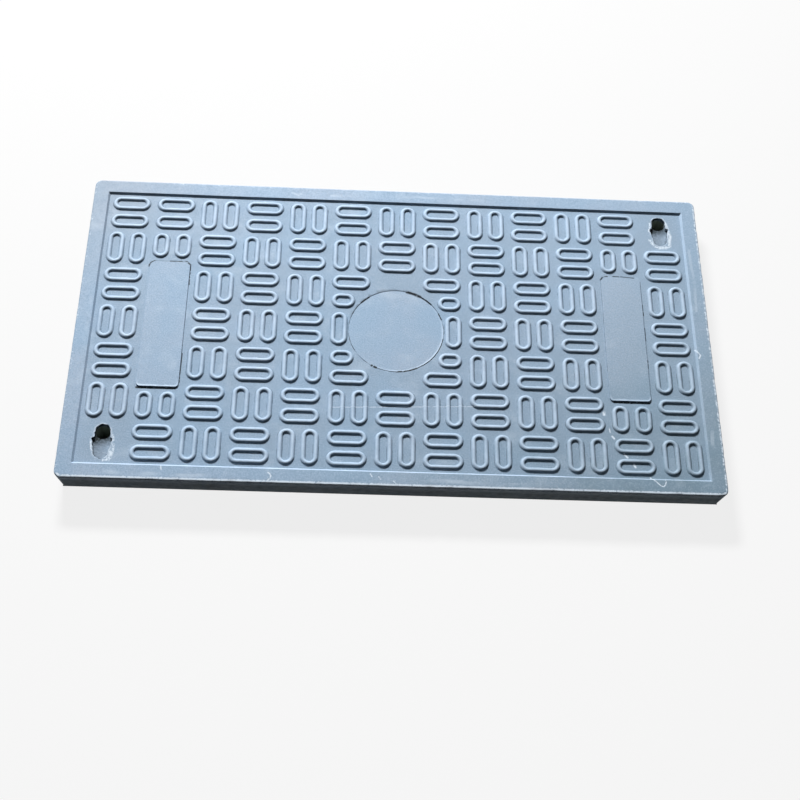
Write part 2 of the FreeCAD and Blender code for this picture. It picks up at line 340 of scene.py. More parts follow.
def painted_shade_share(point, normal):
    """How far a point of the top faces away from the lamp, where shade is painted on it."""
    from_edge = min(HALF_LENGTH - abs(point.x), HALF_WIDTH - abs(point.y))
    if from_edge < RIM_WIDTH / 2 or point.z < FIELD - TREAD_DEPTH:
        return 0.0
    return max(0.0, normal.dot(PAINTED_SHADE_WAY))


def inside(point, outline):
    """Whether a point lies inside a closed outline, by the crossings of a ray along X."""
    crossings = 0
    for a, b in zip(outline, outline[1:] + outline[:1]):
        if (a.y > point.y) != (b.y > point.y):
            if point.x < a.x + (point.y - a.y) * (b.x - a.x) / (b.y - a.y):
                crossings += 1
    return crossings % 2 == 1


def cells():
    """The column and the row of every cell of the tread, counted from the middle."""
    for row in range(-LAST_ROW, LAST_ROW + 1):
        for column in range(-LAST_COLUMN, LAST_COLUMN + 1):
            yield column, row


def cell_centre(column, row):
    """Where the middle of a cell lies."""
    return column * COLUMN_PITCH, row * ROW_PITCH


def pair(x, y, length, along):
    """The two ovals of one cell."""
    half = ROW_PITCH / 4
    if along:
        return [(x, y - half, length, along), (x, y + half, length, along)]
    return [(x - half, y, length, along), (x + half, y, length, along)]


def lies_along(column, row):
    """Pairs lie along the plate and across it by turns, and the left column is a step out of turn."""
    turn = 1 if column == -LAST_COLUMN else 0
    return (column + row + LAST_COLUMN + LAST_ROW + turn) % 2 == 1


def beside_disc(column, row):
    """The ovals next to the disc, dropped or drawn back from it."""
    if column == 0:
        return []
    x, y = cell_centre(column, row)
    half = ROW_PITCH / 4
    if row == 0:
        return [(x + column * half, y, OVAL_LENGTH, False)]
    drawn_back = column * (OVAL_LENGTH - SHORT_OVAL_LENGTH) / 2
    return [
        (x, y + row * half, OVAL_LENGTH, True),
        (x + drawn_back, y - row * half, SHORT_OVAL_LENGTH, True),
    ]


def beyond_pad(column, row):
    """Beyond an end of a blank pad, a pair is cut short on the pad's side."""
    x, y = cell_centre(column, row)
    side = 1 if row > 0 else -1
    outer_end = side * y + OVAL_LENGTH / 2
    clear = PAD_HALF_LENGTH + PAD_GAP
    return pair(x, side * (outer_end + clear) / 2, outer_end - clear, False)


def ovals():
    """Every oval of the tread: its centre, its length, and whether it lies along the plate."""
    for column, row in cells():
        rows_out = abs(row) - PAD_ROWS // 2
        if (column, row) in LIFTING_CELLS:
            continue
        if max(abs(column), abs(row)) <= 1:
            yield from beside_disc(column, row)
        elif abs(column) == PAD_COLUMN and rows_out <= 1:
            if rows_out == 1:
                yield from beyond_pad(column, row)
        else:
            x, y = cell_centre(column, row)
            yield from pair(x, y, OVAL_LENGTH, lies_along(column, row))


def nearer_an_end(x, y):
    """Whether a point lies nearer to the plate's left or right side than to its front or back."""
    return HALF_LENGTH - abs(x) < HALF_WIDTH - abs(y)


def slope_rub_and_highlight(x, y):
    """How far the rim's slope is painted pale where it faces the lamp, partly rubbed wear and partly
    painted highlight: along the front, and less along the right.
    """
    if nearer_an_end(x, y):
        return RIGHT_RUB_AND_HIGHLIGHT if x > 0 else 0.0
    return FRONT_RUB_AND_HIGHLIGHT if y < 0 else 0.0


def border(skin):
    """The sides, the worn top edge, the rim and its slope down to the field. Returns the rows at
    the plate's foot and at the field's edge."""
    steps_x = round(2 * HALF_LENGTH / SIDE_STEP)
    steps_y = round(2 * HALF_WIDTH / SIDE_STEP)
    corners = [
        (SIDE_INSET + RIM_WIDTH, 0),
        (SIDE_INSET, 0),
        (0, PLATE_HEIGHT),
        (RIM_WIDTH, PLATE_HEIGHT),
        (RIM_WIDTH + RIM_SLOPE, FIELD),
        (2 * RIM_WIDTH, FIELD),
    ]
    section = rounded_profile(corners, [FOOT_ROUND, EDGE_ROUND, RIM_ROUND, RIM_ROUND], BORDER_STEPS)
    rounding = BORDER_STEPS + 1
    foot = section[:rounding]
    edge = section[rounding : 2 * rounding]
    rim = section[2 * rounding :]
    side = [foot[-1].lerp(edge[0], share) for share in SIDE_ROWS]
    top = [edge[-1].lerp(rim[0], share) for share in RIM_ROWS]
    slope = rim[1:-2]

    def outline(inset):
        radius = max(CORNER_RADIUS - inset, FIELD_CORNER)
        return rounded_rectangle(HALF_LENGTH - inset, HALF_WIDTH - inset, radius, steps_x, steps_y)

    # The foot of the rim's slope is darkened on the back and the left, where the slope faces away from the
    # lamp: partly dirt, partly painted shade.
    def slope_dirt_and_shade(x, y):
        return 0.0 if slope_rub_and_highlight(x, y) else 1.0

    def marks(inset, height):
        place = Vector((inset, height))
        return {
            "edge": 1.0 if place in [*edge, top[0]] else 0.0,
            "crest": slope_rub_and_highlight if place in slope else 0.0,
            "crevice": slope_dirt_and_shade if place == slope[-1] else 0.0,
            "field": 1.0 if height < FIELD + LEVEL and inset > RIM_WIDTH else 0.0,
            "side": 1 - height / PLATE_HEIGHT if inset < SIDE_INSET else 0.0,
        }

    rows = skin.sweep(outline, foot + side + edge + top + rim, 0, marks)
    return rows[0], rows[-1]


def rib_section():
    """An oval's rib across its width, from its outer foot over the crest to its inner foot."""
    apex = TREAD_DEPTH + CREST_ROUND * (1 / math.cos(RIB_SLOPE) - 1)
    reach = apex / math.tan(RIB_SLOPE)
    middle = RIB_WIDTH / 2
    corners = [
        (middle - RIB_WIDTH, 0),
        (middle - reach, 0),
        (middle, apex),
        (middle + reach, 0),
        (middle + RIB_WIDTH, 0),
    ]
    outer_foot = rounded_profile(corners[:3], [RIB_FOOT_ROUND], RIB_FOOT_STEPS)
    crest = rounded_profile(corners[1:4], [CREST_ROUND], CREST_STEPS)
    inner_foot = rounded_profile(corners[2:], [RIB_FOOT_ROUND], RIB_FOOT_STEPS)
    return outer_foot + crest + inner_foot


def tread(skin):
    """The oval rings. Returns their outer feet, which are holes in the field."""
    section = rib_section()
    feet = []

    def marks(inset, height):
        return {
            # Crests are painted pale towards their tops: partly rubbed wear, partly painted highlight.
            "crest": (height / TREAD_DEPTH) ** 2,
            "crevice": 1.0 if LEVEL < height < RIB_DIRT_HEIGHT else 0.0,
            "field": 1.0 if height < LEVEL else 0.0,
        }

    for x, y, length, along in ovals():
        rows = skin.sweep(
            lambda inset: stadium(length, OVAL_WIDTH, inset, along), section, FIELD, marks, (x, y)
        )
        skin.fill(rows[-1])
        feet.append(rows[0])
    return feet


def disc(skin):
    """The plain disc, whose seam is nearly closed at the front left and whose edge stands up at the
    front right. Returns the outer edge of the seam."""
    section = [
        (0, 0),
        (SEAM_LEAN, -SEAM_DEPTH),
        (SEAM_WIDTH - SEAM_LEAN, -SEAM_DEPTH),
        (SEAM_WIDTH, 0),
        (SEAM_WIDTH + LIP_WIDTH, 0),
        (SEAM_WIDTH + 2 * LIP_WIDTH, 0),
    ]

    def front_right(x, y):
        return max(0.0, x - y) / (DISC_RADIUS * math.sqrt(2))

    def marks(inset, height):
        on_lip = SEAM_WIDTH <= inset <= SEAM_WIDTH + LIP_WIDTH
        return {
            "crevice": 1.0 if height < 0 else 0.0,
            "field": 1.0 if inset == 0 else 0.0,
            # The lip's top is painted pale at the front right: partly rubbed wear, partly painted
            # highlight.
            "crest": front_right if on_lip else 0.0,
        }

    rows = skin.sweep(
        lambda inset: circle(DISC_RADIUS + SEAM_WIDTH - inset, SEAM_STEPS), section, FIELD, marks
    )

    def closing(point):
        """How far the seam's bottom is raised, least at the back."""
        back = max(0.0, point.y) / DISC_RADIUS
        open_share = min(1.0, SEAM_LEAST + back + max(0.0, noise.noise(point / LIP_LENGTH)))
        return SEAM_DEPTH * (1 - open_share)

    def lip(point):
        return LIP_RISE * front_right(point.x, point.y) ** 2 * unevenness(point)

    skin.lift(rows[1] + rows[2], closing)
    skin.lift(rows[3], lip)
    skin.fill(rows[-1], step=GRID_STEP, height=FIELD)
    return rows[0]


def unevenness(point):
    """A share between 0 and 1 that wanders along a lip."""
    return min(1.0, max(0.0, LIP_MEAN + noise.noise(point / LIP_LENGTH)))


def pad(skin, column):
    """A blank pad that stands above the field, with a lip along its front. Returns its foot."""
    corners = [(-PAD_CORNER, 0), (0, 0), (PAD_ROUND / 2, PAD_RISE), (PAD_CORNER, PAD_RISE)]
    section = rounded_profile(corners, [PAD_ROUND / 2, PAD_ROUND], PAD_STEPS)
    section.append(section[-1] + Vector((LIP_WIDTH, 0)))
    section.append(section[-1] + Vector((LIP_WIDTH, 0)))
    steps_x = round(PAD_WIDTH / SIDE_STEP)
    steps_y = round(2 * PAD_HALF_LENGTH / SIDE_STEP)

    def outline(inset):
        return rounded_rectangle(
            PAD_WIDTH / 2 - inset, PAD_HALF_LENGTH - inset, PAD_CORNER - inset, steps_x, steps_y
        )

    def at_front(x, y):
        from_front = (y + PAD_HALF_LENGTH) / PAD_CORNER
        return min(1.0, max(0.0, PAD_LIP_REACH - from_front))

    def marks(inset, height):
        on_lip = height > PAD_RISE / 2 and inset < section[-1].x
        return {
            "crevice": 1.0 if LEVEL < height < PAD_RISE / 2 else 0.0,
            "field": 1.0 if height < LEVEL else 0.0,
            # The lip's top is painted pale at the front: partly rubbed wear, partly painted highlight.
            "crest": at_front if on_lip else 0.0,
        }

    rows = skin.sweep(outline, section, FIELD, marks, cell_centre(column, 0))

    def lip(point):
        return LIP_RISE * at_front(point.x, point.y) * unevenness(point)

    upper_rounding = rows[-5:-2]
    for row in upper_rounding:
        skin.lift(row, lip)
    skin.fill(rows[-1], step=GRID_STEP, height=FIELD + PAD_RISE)
    return rows[0]


def divided(corners, step):
    """A run of points from corner to corner, without the last corner."""
    points = []
    for a, b in zip(corners, corners[1:]):
        steps = max(1, round((b - a).length / step))
        points += [a.lerp(b, index / steps) for index in range(steps)]
    return points


def arc(middle, radius, first, last, step):
    """A run of points round an arc, in degrees, without the last."""
    steps = max(LEAST_ARC_STEPS, round(abs(math.radians(last - first)) * radius / step))
    angles = [math.radians(first + (last - first) * index / steps) for index in range(steps)]
    return [middle + radius * Vector((math.cos(a), math.sin(a))) for a in angles]


def recess_line():
    """The keyhole's outline about the bore's centre: the bore's back half, and the rest of it."""
    reach = Vector((0, -RECESS_END_REACH))
    back = arc(Vector((0, 0)), BORE_RADIUS, 0, 180, HOLE_STEP)
    left = [
        Vector((-BORE_RADIUS, 0)),
        Vector((-BORE_RADIUS, -BORE_RADIUS)),
        Vector((-RECESS_HALF_WIDTH, -BORE_RADIUS)),
        Vector((-RECESS_END_RADIUS, -RECESS_END_REACH)),
    ]
    right = [Vector((-corner.x, corner.y)) for corner in reversed(left)]
    front = divided(left, HOLE_STEP)
    front += arc(reach, RECESS_END_RADIUS, 180, 360, HOLE_STEP)
    front += divided(right, HOLE_STEP)
    return back, front


def outward(points, index):
    """The direction out of a closed outline at one of its points."""
    run = points[(index + 1) % len(points)] - points[index - 1]
    return Vector((run.y, -run.x)).normalized()


def softened(points, passes):
    """A closed outline with its corners smoothed out a little in each pass."""
    for _ in range(passes):
        points = [
            (points[index - 1] + 2 * point + points[(index + 1) % len(points)]) / 4
            for index, point in enumerate(points)
        ]
    return points


# How ragged a lifting hole is: its outline, the burr on its lip and its recess's floor. The halo is
# the strip of the field round it.
HOLE_LIP = 0.7 * MM
HALO = 4.4 * MM
HALO_PASSES = 24
SHOULDER_PASSES = 3
RAGGEDNESS = 1.1 * MM
RAGGED_SCALE = 5 * MM
BURR_HEIGHT = 1.2 * MM
BURR_SCALE = 3 * MM
BURR_SEED = 0.31
FLOOR_SCALE = 4 * MM
FLOOR_ROUGHNESS = 0.8 * MM

# Rows of points down the bore, as shares of the field's height.
BORE_ROWS = (0.8, 0.5)

# How much torn flash lies on the halo and the lip, how much shade is painted on the lip, the walls and the
# floor, and how much silt lies in the bore. The floor's painted shade clears up to its front, and is deeper
# at its left.
HALO_FLASH = 0.35
LIP_FLASH = 0.8
LIP_SHADE = 0.6
FLOOR_CLEARING = 1.35
FLOOR_LEAST_SHADE = 0.42
FLOOR_LEFT_SHADE = 0.24
LEFT_WALL_SHADE = 0.95
RIGHT_WALL_SHADE = 0.7
BORE_SILT = 0.85


def lifting_hole(skin, column, row):
    """A keyhole with a ragged rim. Returns its outer row in the field and its row at the underside."""
    x, y = cell_centre(column, row)
    centre = Vector((x, y + BORE_OFFSET))
    back, front = recess_line()
    line = back + front
    ramp_run = RECESS_END_REACH + RECESS_END_RADIUS - BORE_RADIUS
    fall = (RECESS_DEPTH - RECESS_END_DEPTH) / ramp_run

    def ragged(offset, roughness=RAGGEDNESS, passes=SHOULDER_PASSES):
        """The outline with its shoulders softened, moved out by an offset and by noise."""
        soft_line = softened(line, passes)
        points = []
        for index, point in enumerate(soft_line):
            shake = noise.noise(((centre + point) / RAGGED_SCALE).to_3d())
            points.append(point + outward(soft_line, index) * (offset + roughness * shake))
        return points

    def burr(x, y):
        lift = noise.noise(Vector((x, y, BURR_SEED)) / BURR_SCALE)
        return FIELD + BURR_HEIGHT * max(0.0, lift)

    def floor(x, y):
        ahead = max(0.0, centre.y - BORE_RADIUS - y)
        rough = noise.noise(Vector((x, y, 0)) / FLOOR_SCALE)
        return FIELD - RECESS_DEPTH + fall * ahead + FLOOR_ROUGHNESS * rough * min(1.0, ahead / BORE_RADIUS)

    # Painted shade on the recess's floor: deepest at the bore, clearing towards the front, and deeper to
    # the left.
    def shade(x, y):
        ahead = max(0.0, centre.y - BORE_RADIUS - y) / ramp_run
        to_left = (centre.x - x) / RECESS_HALF_WIDTH
        return max(FLOOR_LEAST_SHADE, 1 - FLOOR_CLEARING * ahead) + FLOOR_LEFT_SHADE * to_left

    # Painted shade on the recess's walls, deeper on the left.
    def wall_shade(x, y):
        return LEFT_WALL_SHADE if x < centre.x else RIGHT_WALL_SHADE

    rows = [
        skin.row(ragged(HALO, passes=HALO_PASSES), FIELD, centre, field=1.0),
        skin.row(ragged(HALO / 2, passes=HALO_PASSES // 2), FIELD, centre, field=0.5, flash=HALO_FLASH),
        skin.row(ragged(HOLE_LIP), burr, centre, flash=LIP_FLASH),
        skin.row(ragged(0), FIELD - HOLE_LIP, centre, hollow=LIP_SHADE),
        skin.row(ragged(0, RAGGEDNESS / 2), FIELD - 2 * HOLE_LIP, centre, hollow=wall_shade),
        skin.row(line, floor, centre, hollow=wall_shade),
    ]
    for low, high in zip(rows, rows[1:]):
        skin.strip(low, high)
    floor_row = rows[-1]

    # The floor along the bore's front edge takes the deepest painted shade.
    brow = arc(Vector((0, 0)), BORE_RADIUS, 360, 180, HOLE_STEP)[1:]
    brow_row = skin.row(brow, floor, centre, hollow=1.0)
    first_front = floor_row[len(back)]
    front_edge = floor_row[len(back):] + [floor_row[0]] + brow_row
    skin.fill(front_edge, step=FLOOR_STEP, height=floor, hollow=shade)
    bore_row = floor_row[: len(back)] + [first_front] + brow_row[::-1]
    flat = [skin.points[number].xy - centre for number in bore_row]
    for height in [*(FIELD * share for share in BORE_ROWS), FOOT_ROUND]:
        lower = skin.row(flat, height, centre, silt=BORE_SILT)
        skin.strip(bore_row, lower)
        bore_row = lower
    mouth = skin.row([point * (1 + FOOT_ROUND / BORE_RADIUS) for point in flat], 0, centre)
    skin.strip(bore_row, mouth)
    return rows[0], mouth


def pocket(skin, column, row):
    """One pocket of the underside. Returns its mouth."""
    height = FIELD - DECK_THICKNESS
    draw_in = height * math.tan(UNDER_RIB_DRAFT)
    half_x = (COLUMN_PITCH - UNDER_RIB_FOOT) / 2
    half_y = (ROW_PITCH - UNDER_RIB_FOOT) / 2
    corners = [(-POCKET_CORNER, 0), (0, 0), (draw_in, height), (half_x, height)]
    section = rounded_profile(corners, [POCKET_MOUTH_ROUND, POCKET_ROUND], POCKET_ROUND_STEPS)

    def outline(inset):
        radius = POCKET_CORNER - min(inset, draw_in)
        steps = [POCKET_STEPS] * 3
        return rounded_rectangle(half_x - inset, half_y - inset, radius, *steps)

    rows = [skin.row(outline(inset), z, cell_centre(column, row)) for inset, z in section]
    for low, high in zip(rows, rows[1:]):
        skin.strip(high, low)
    skin.fill(rows[-1], height=height, faces_up=False)
    return rows[0]


# The slow unevenness of the moulded top, and the chips along its edge.
WAVE_LENGTH = 90 * MM
WAVE_DEPTH = 0.35 * MM
CHIP_LENGTH = 11 * MM
CHIP_START = 0.1
CHIP_DEPTH = 2.4 * MM

# How worn the top edge is along each side.
FRONT_WEAR = 1.0
RIGHT_WEAR = 0.6
LEFT_WEAR = 0.25
BACK_WEAR = 0.2


def wavy(point):
    """How far the moulded top sinks at a point, growing from the underside up."""
    dip = 0.5 + 0.5 * noise.noise(Vector((point.x, point.y, 0)) / WAVE_LENGTH)
    return WAVE_DEPTH * dip * point.z / PLATE_HEIGHT


def edge_wear(point):
    """How worn the top edge is at a point of it."""
    if nearer_an_end(point.x, point.y):
        return RIGHT_WEAR if point.x > 0 else LEFT_WEAR
    return BACK_WEAR if point.y > 0 else FRONT_WEAR


def into_edge(point):
    """The direction from a point of the top edge into the plate, halfway between in and down."""
    if nearer_an_end(point.x, point.y):
        return Vector((-math.copysign(1, point.x), 0, -1)) / math.sqrt(2)
    return Vector((0, -math.copysign(1, point.y), -1)) / math.sqrt(2)


def chipped(point):
    """How far the worn edge is broken back at a point."""
    rough = noise.noise(point / CHIP_LENGTH) - CHIP_START
    return CHIP_DEPTH * edge_wear(point) * max(0.0, rough)


def cover_mesh():
    """The cover's whole skin, chipped along its top edge and a little uneven."""
    skin = Skin()
    foot, field_edge = border(skin)
    holes = tread(skin)
    holes.append(disc(skin))
    holes += [pad(skin, column) for column in (-PAD_COLUMN, PAD_COLUMN)]
    mouths = []
    for cell in LIFTING_CELLS:
        field_row, mouth = lifting_hole(skin, *cell)
        holes.append(field_row)
        mouths.append(mouth)
    skin.fill(field_edge, holes, step=GRID_STEP, height=FIELD, field=1.0)
    mouths += [pocket(skin, *cell) for cell in cells() if cell not in LIFTING_CELLS]
    skin.fill(foot, mouths, height=0, faces_up=False)

    edge = skin.marks["edge"]
    for number, point in enumerate(skin.points):
        if edge.get(number):
            edge[number] = edge_wear(point)
            point += into_edge(point) * chipped(point)
        point.z -= wavy(point)
    return skin.mesh("cover_plate_skin")


# The colour sockets of a Mix node, which has sockets of the same name for other kinds of data.
COLOUR_A = 6
COLOUR_B = 7
MIXED_COLOUR = 2


class Nodes:
    """Short ways to add nodes to the tree of a material or a world, and to join them."""

    def __init__(self, owner):
        owner.use_nodes = True
        self.tree = owner.node_tree
        self.tree.nodes.clear()

    @cached_property
    def here(self):
        """Where each point lies, in metres."""
        return self.add("ShaderNodeTexCoord").outputs["Object"]

    def add(self, kind, settings=None, **sockets):
        """Adds a node. The names of its sockets have underscores in place of spaces."""
        node = self.tree.nodes.new(kind)
        for name, value in (settings or {}).items():
            setattr(node, name, value)
        for name, value in sockets.items():
            self.give(node.inputs[name.replace("_", " ")], value)
        return node

    def give(self, socket, value):
        """Links an input to another node's output, or sets it to a plain value."""
        if isinstance(value, bpy.types.NodeSocket):
            self.tree.links.new(value, socket)
        else:
            socket.default_value = value

    def math(self, operation, a, b):
        node = self.add("ShaderNodeMath", {"operation": operation})
        self.give(node.inputs[0], a)
        self.give(node.inputs[1], b)
        return node.outputs[0]

    def highest(self, *values):
        """The highest of several values at each point."""
        return reduce(lambda a, b: self.math("MAXIMUM", a, b), values)

    def product(self, *values):
        return reduce(lambda a, b: self.math("MULTIPLY", a, b), values)

    def vector(self, operation, a, b=(0, 0, 0)):
        node = self.add("ShaderNodeVectorMath", {"operation": operation})
        self.give(node.inputs[0], a)
        self.give(node.inputs[1], b)
        return node.outputs["Value"] if operation in ("DOT_PRODUCT", "LENGTH") else node.outputs[0]

    def scaled(self, a, factor):
        """A vector times a factor."""
        node = self.add("ShaderNodeVectorMath", {"operation": "SCALE"}, Scale=factor)
        self.give(node.inputs[0], a)
        return node.outputs[0]

    def noise(self, size, detail, roughness=0.5):
        """Noise whose features are about that size, in metres."""
        sockets = {"Vector": self.here, "Scale": 1 / size, "Detail": detail, "Roughness": roughness}
        return self.add("ShaderNodeTexNoise", **sockets).outputs["Fac"]

    def gradient(self, way, start, end, most):
        """A share that grows along a direction."""
        return self.ramp(self.vector("DOT_PRODUCT", self.here, way), start, end, 0.0, most)

    def ramp(self, value, low, high, to_low=0.0, to_high=1.0):
        """A value's range mapped smoothly to another."""
        sockets = {"Value": value, "From_Min": low, "From_Max": high, "To_Min": to_low, "To_Max": to_high}
        node = self.add("ShaderNodeMapRange", {"interpolation_type": "SMOOTHSTEP"}, **sockets)
        return node.outputs[0]

    def mix(self, share, a, b):
        """A share of colour B over colour A."""
        node = self.add("ShaderNodeMix", {"data_type": "RGBA"})
        self.give(node.inputs["Factor"], share)
        self.give(node.inputs[COLOUR_A], a)
        self.give(node.inputs[COLOUR_B], b)
        return node.outputs[MIXED_COLOUR]

    def mark(self, name):
        """One of the marks on the skin."""
        return self.add("ShaderNodeAttribute", {"attribute_name": name}).outputs["Fac"]

    def finish(self, shader, kind="ShaderNodeOutputMaterial"):
        """Joins the last shader to the tree's output."""
        output = self.add(kind)
        self.tree.links.new(shader.outputs[0], output.inputs["Surface"])


# Colours, linear.
RESIN = (0.31, 0.428, 0.575, 1)
RESIN_COOL = (0.285, 0.41, 0.555, 1)
RESIN_WARM = (0.34, 0.433, 0.555, 1)
DUST = (0.23, 0.325, 0.43, 1)
# Pale crests: partly rubbed wear, partly painted highlight.
RUBBED_AND_HIGHLIGHT = (0.56, 0.7, 0.86, 1)
CHALK = (0.68, 0.78, 0.88, 1)
# Dark grime, which also serves as painted shade on the lee sides, at the rim slope's shaded foot and along
# the pads' shadowed edges.
GRIME_AND_SHADE = (0.02, 0.028, 0.036, 1)
# A dark teal tint towards the foot of the plate's sides.
SIDE_DARK_TINT = (0.012, 0.032, 0.034, 1)
STAIN = (0.27, 0.3, 0.34, 1)
# The greyer tint of the painted shade that deepens to the front right.
FRONT_RIGHT_SHADE_TINT = (0.145, 0.22, 0.26, 1)
# The dark colour of the painted shade in the lifting holes' recesses.
HOLLOW_SHADE_COLOUR = (0.022, 0.029, 0.031, 1)
SILT = (0.26, 0.29, 0.23, 1)
GRIT = (0.15, 0.225, 0.3, 1)
WHITE = (1, 1, 1, 1)

# The resin's patterns of noise: the size of their features, their detail and roughness, and the range of
# the noise that is mapped to a range of shares.
PATTERNS = {
    "cloud": (120 * MM, 3, 0.5, (0.35, 0.65), (0.0, 1.0)),
    "mottle": (4 * MM, 3, 0.6, (0.3, 0.7), (0.0, 0.6)),
    "front_right_shade": (70 * MM, 3, 0.5, (0.3, 0.7), (0.6, 0.9)),
    "dust": (60 * MM, 3, 0.6, (0.35, 0.65), (0.3, 0.55)),
    "dark_grit": (2.2 * MM, 3, 0.6, (0.48, 0.68), (0.0, 0.3)),
    "pale_grit": (2.2 * MM, 3, 0.6, (0.5, 0.32), (0.0, 0.16)),
    "haze": (45 * MM, 4, 0.6, (0.5, 0.75), (0.0, 0.16)),
    "rubbed_and_highlight": (25 * MM, 3, 0.5, (0.3, 0.7), (0.4, 0.8)),
    "dirt_and_shade": (18 * MM, 3, 0.6, (0.4, 0.65), (0.2, 0.9)),
    "side_darkening": (16 * MM, 4, 0.6, (0.3, 0.7), (0.75, 1.0)),
    "hollow": (4 * MM, 3, 0.5, (0.3, 0.6), (0.7, 1.0)),
    "flash": (7 * MM, 3, 0.5, (0.35, 0.6), (0.0, 1.0)),
    "roughness": (9 * MM, 3, 0.5, (0.3, 0.7), (0.46, 0.58)),
}

# Shares that grow over the top: the way, where they start and end along it in metres, and the most. They
# are painted shade, greyer in tint, that deepens to the front right, a paler tone to the back right, and a
# dull corner at the back left.
FRONT_RIGHT_SHADE_GRADIENT = (Vector((0.7, -1, 0)).normalized(), 0.02, 0.69, 1.0)
PALE_GRADIENT = (Vector((0.8, 0.6, 0)), 0.08, 0.45, 0.08)
DULL_GRADIENT = (Vector((-0.67, 0.74, 0)), 0.35, 0.6, 0.4)

# How much of their pale colour the crests keep where the painted shade at the front right is deepest.
CREST_IN_FRONT_RIGHT_SHADE = 0.4

# How far shade is painted over the ribs' lee sides, which face away from the lamp, and between which values
# of the lee mark it sets in.
LEE_PAINTED_SHADE = 0.6
LEE_SHADE_RANGE = (0.2, 0.7)

# The sides grow darker and lose their sheen towards the foot: how far, and how soon.
SIDE_DARKENING_SHARE = 0.8
SIDE_DARKENING_REACH = 0.5
SHEEN_LEVEL = 0.12
SIDE_SHEEN_LEVEL = 0.05
SHEEN_REACH = 0.4

# The wear of the top edge: its noise, how much the edge itself adds to that, and what then is worn.
WEAR_GRAIN = (5 * MM, 4, 0.65)
WEAR_AT_EDGE = 0.35
WEAR_RANGE = (0.62, 0.8)
WEAR_FADE = 0.3

# The fine relief: the sizes, the details and the depths of its two noises, how deep the scratches are, and
# its strength. Bare and hollow places are rougher than the rest.
PEEL_GRAIN = (1.6 * MM, 2)
PEEL_DEPTH = 0.12
SWELL_GRAIN = (14 * MM, 2)
SWELL_DEPTH = 0.4
SCRATCH_DEPTH = 0.3
RELIEF_STRENGTH = 0.6
EXTRA_ROUGHNESS = 0.3

# How strokes are broken up: the size of the noise, between which of its values they fade out, and how far
# it shakes them.
FAINT_BREAKS = {"size": 40 * MM, "fade": (0.35, 0.65), "shake": 8 * MM}
RESIDUE_BREAKS = {"size": 5 * MM, "fade": (0.3, 0.45), "shake": 0.0}
SMEAR_BREAKS = {"size": 3 * MM, "fade": (0.32, 0.58), "shake": 6 * MM}
SCRATCH_BREAKS = {"size": 3 * MM, "fade": (0.32, 0.48), "shake": 1 * MM}

# How strongly the faint marks show, and the detail and the mean of the noise that breaks up strokes.
FAINT_STRENGTH = 0.3
BREAK_DETAIL = 3
NOISE_MEAN = (0.5, 0.5, 0.5)

# The share of a stroke's width that is solid.
STROKE_CORE = 1 / 3

# The long curl at the front right, in millimetres from the middle.
CURL = [
    (422, -269), (428, -275), (434, -281), (438, -285),
    (442, -286), (445, -283), (447, -277), (446, -274),
]

# Scratches on the top: the points along each, in millimetres from the middle, and its width.
SCRATCHES = [
    (CURL, 1.5),
    ([(353, -149), (353, -153)], 3.2),
    ([(360, -180), (361, -187)], 1.3),
    ([(364, -194), (367, -198)], 2.4),
    ([(382, -227), (387, -233)], 2.4),
    ([(397, -246), (399, -250)], 3.0),
    ([(-206, -281), (-203, -283), (-201, -287), (-202, -291), (-206, -295)], 1.6),
    ([(-380, -274), (-378, -281)], 1.6),
    ([(-40, -278), (-37, -283)], 1.3),
    ([(-26, -283), (-23, -287)], 1.3),
    ([(-2, -290), (2, -294)], 1.3),
    ([(-109, -155), (20, -150), (142, -145)], 0.6),
    ([(521, -20), (529, -32), (526, -38)], 1.8),
]

# Faint pale marks on the rim.
FAINT_MARKS = [
    ([(-192, 287), (-180, 282), (-176, 285)], 3.0),
    ([(-531, 60), (-528, 20), (-532, -40)], 4.0),
    ([(-470, -288), (-380, -291), (-300, -289)], 5.0),
    ([(60, -288), (170, -291), (260, -289)], 5.0),
    ([(-120, 284), (40, 287), (180, 284)], 4.0),
    ([(531, 190), (534, 120), (532, 60)], 4.0),
    ([(536, -150), (532, -210)], 5.0),
    ([(505, -284), (520, -280)], 3.0),
]

# Torn flash beside the lifting holes.
SMEARS = [
    ([(-460, -238), (-460, -248)], 3.2),
    ([(-462, -250), (-465, -262)], 5.5),
    ([(-463, -221), (-461, -228)], 3.0),
    ([(-497, -232), (-496, -246), (-492, -249)], 1.6),
    ([(-474, -266), (-466, -264)], 2.4),
    ([(465, 250), (463, 238), (461, 232)], 2.2),
    ([(462, 212), (466, 203), (474, 197)], 3.4),
    ([(494, 250), (497, 236), (499, 226)], 3.4),
    ([(500, 222), (497, 208), (497, 200)], 4.2),
    ([(497, 200), (488, 196), (474, 195)], 4.0),
]

# Dark residue in the disc's seam: the angles in degrees between which it lies, and its width in
# millimetres.
SEAM_RESIDUE = [
    (77, 60, 4.2),
    (60, 43, 2.4),
    (27, 18, 1.6),
    (157, 138, 1.2),
    (138, 126, 2.6),
    (240, 246, 3.0),
    (271, 296, 2.2),
    (296, 350, 1.2),
]

